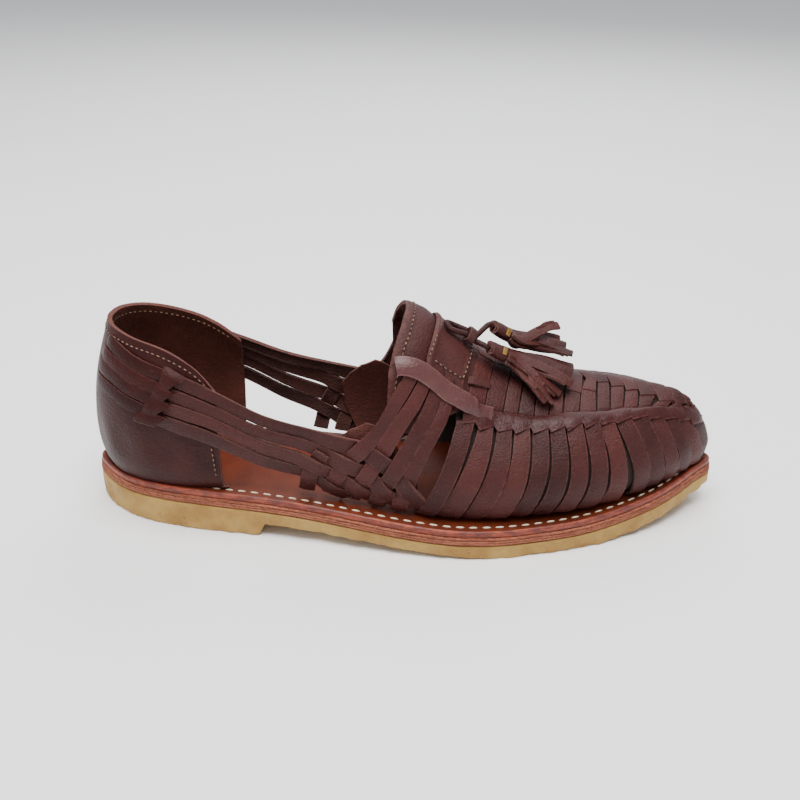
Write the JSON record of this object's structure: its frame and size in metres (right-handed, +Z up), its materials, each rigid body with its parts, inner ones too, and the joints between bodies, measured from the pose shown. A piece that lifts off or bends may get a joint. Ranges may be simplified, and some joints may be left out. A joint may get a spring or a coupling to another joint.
{
  "type": "woven leather sandal",
  "caption": "Right-foot closed-toe woven leather slip-on sandal with a heel counter, side straps, a stitched saddle, a thong with tassels and a low crepe sole.",
  "frame": {"origin": "on the floor under the middle of the heel, where the heel rests", "axes": "+X from heel to toe, +Y to the inner side of the foot, +Z up"},
  "size_m": [0.2974, 0.0986, 0.1023],
  "materials": {
    "crepe_rubber": "natural crepe, slightly translucent, rough lower edge",
    "edge_leather": "cut and burnished sole edge",
    "tan_leather": "smooth vegetable-tanned insole",
    "brown_leather": "waxed dark reddish brown, raw cut edges",
    "lining_leather": "suede-like back",
    "thread": "waxed cream thread",
    "staple_brass": "aged"
  },
  "bodies": {
    "root": {"outsole": "crepe_rubber", "midsole": "edge_leather", "platform": "tan_leather", "heel_counter": "brown_leather", "woven_upper": "brown_leather", "saddle_cuff": "brown_leather", "saddle_patch": "brown_leather", "side_lining_outer": "lining_leather", "side_lining_inner": "lining_leather", "tassel_thong": "brown_leather", "thong_knot": "brown_leather", "tassel_outer": "brown_leather", "tassel_inner": "brown_leather"}
  },
  "joints": []
}
